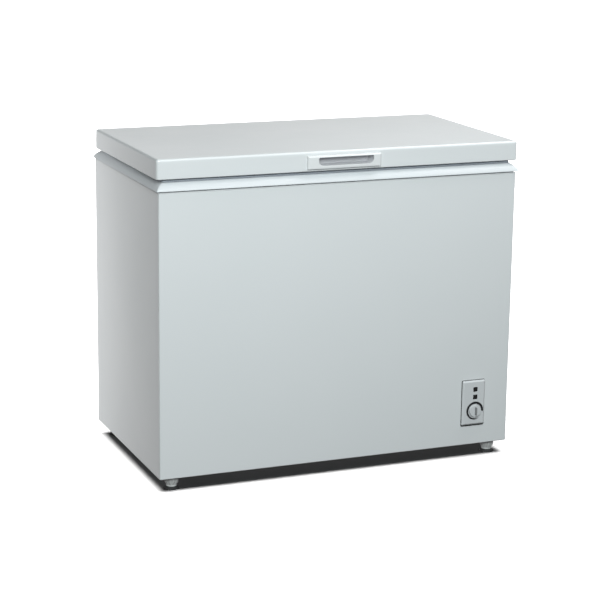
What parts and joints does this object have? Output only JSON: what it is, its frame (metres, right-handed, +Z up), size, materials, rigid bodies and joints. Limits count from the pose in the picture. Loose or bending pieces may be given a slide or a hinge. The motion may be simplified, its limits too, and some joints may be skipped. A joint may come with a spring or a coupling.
{
  "type": "chest freezer",
  "caption": "White chest freezer with a hinged insulated lid, recessed lid pull, bevelled collar, thermostat panel at the lower right, wire basket and levelling feet.",
  "frame": {"origin": "on the floor, under the middle of the cabinet", "axes": "+Z up, -Y towards the user at the front, +X to the user's right"},
  "size_m": [0.992, 0.5835, 0.85],
  "materials": {
    "enamelled_steel": "semi-gloss",
    "zinc_sheet": "satin",
    "insulation_foam": "matte",
    "embossed_aluminium": "satin",
    "white_plastic": "gloss",
    "grey_seal": "matte",
    "control_plastic": "satin",
    "dark_window": "gloss",
    "lamp_plastic": "gloss",
    "copper_tube": "satin",
    "steel_tube": "satin",
    "black_enamel": "semi-gloss",
    "black_rubber": "matte",
    "zinc_hardware": "satin",
    "foot_plastic": "matte",
    "coated_wire": "semi-gloss",
    "thermostat_case": "matte"
  },
  "bodies": {
    "cabinet": {"cabinet_wrap": "enamelled_steel", "back_panel": "enamelled_steel", "rear_cover": "enamelled_steel", "base_pan": "zinc_sheet", "compartment_liner": "zinc_sheet", "compressor_tray": "zinc_sheet", "foot_rail_left": "zinc_sheet", "foot_rail_right": "zinc_sheet", "cabinet_foam": "insulation_foam", "inner_liner": "embossed_aluminium", "evaporator_coil": "embossed_aluminium", "condenser_coil": "steel_tube", "collar_front": "white_plastic", "collar_rear": "white_plastic", "collar_left": "white_plastic", "collar_right": "white_plastic", "side_grille": "white_plastic", "control_cover": "control_plastic", "indicator_lenses": "dark_window", "indicator_lamps": "lamp_plastic", "thermostat_body": "thermostat_case", "filter_drier": "copper_tube", "discharge_pipe": "copper_tube", "suction_pipe": "copper_tube", "compressor": "black_enamel", "compressor_relay_cover": "black_rubber", "compressor_grommets": "black_rubber", "cord_gland": "black_rubber", "compressor_bolts": "zinc_hardware", "rear_cover_screws": "zinc_hardware", "hinge_base_screws": "zinc_hardware", "hinge_base_left": "zinc_hardware", "hinge_pin_left": "zinc_hardware", "hinge_spring_left": "zinc_hardware", "hinge_base_right": "zinc_hardware", "hinge_pin_right": "zinc_hardware", "hinge_spring_right": "zinc_hardware"},
    "lid": {"lid_skin": "enamelled_steel", "lid_foam": "insulation_foam", "lid_inner_panel": "white_plastic", "lid_gasket": "grey_seal", "lid_handle": "white_plastic", "hinge_leaf_left": "zinc_hardware", "hinge_leaf_right": "zinc_hardware", "hinge_leaf_screws": "zinc_hardware"},
    "knob": {"thermostat_knob": "control_plastic"},
    "wire_basket": {"basket": "coated_wire"},
    "foot_front_left": {"foot_cup_front_left": "foot_plastic", "foot_sole_front_left": "black_rubber"},
    "foot_front_right": {"foot_cup_front_right": "foot_plastic", "foot_sole_front_right": "black_rubber"},
    "foot_rear_left": {"foot_cup_rear_left": "foot_plastic", "foot_sole_rear_left": "black_rubber"},
    "foot_rear_right": {"foot_cup_rear_right": "foot_plastic", "foot_sole_rear_right": "black_rubber"}
  },
  "joints": [
    {"name": "lid_hinge", "type": "hinge", "parent": "cabinet", "child": "lid", "pos_m": [0, 0.283, 0.798], "axis": [-1, 0, 0], "range_deg": [0, 80]},
    {"name": "knob_turn", "type": "hinge", "parent": "cabinet", "child": "knob", "pos_m": [0.3895, -0.285, 0.13], "axis": [0, 1, 0], "range_deg": [-210, 90]},
    {"name": "basket_slide", "type": "slide", "parent": "cabinet", "child": "wire_basket", "axis": [1, 0, 0], "range_m": [-0.575, 0]},
    {"name": "foot_front_left_screw", "type": "slide", "parent": "cabinet", "child": "foot_front_left", "axis": [0, 0, 1], "range_m": [-0.012, 0]},
    {"name": "foot_front_right_screw", "type": "slide", "parent": "cabinet", "child": "foot_front_right", "axis": [0, 0, 1], "range_m": [-0.012, 0]},
    {"name": "foot_rear_left_screw", "type": "slide", "parent": "cabinet", "child": "foot_rear_left", "axis": [0, 0, 1], "range_m": [-0.012, 0]},
    {"name": "foot_rear_right_screw", "type": "slide", "parent": "cabinet", "child": "foot_rear_right", "axis": [0, 0, 1], "range_m": [-0.012, 0]}
  ]
}
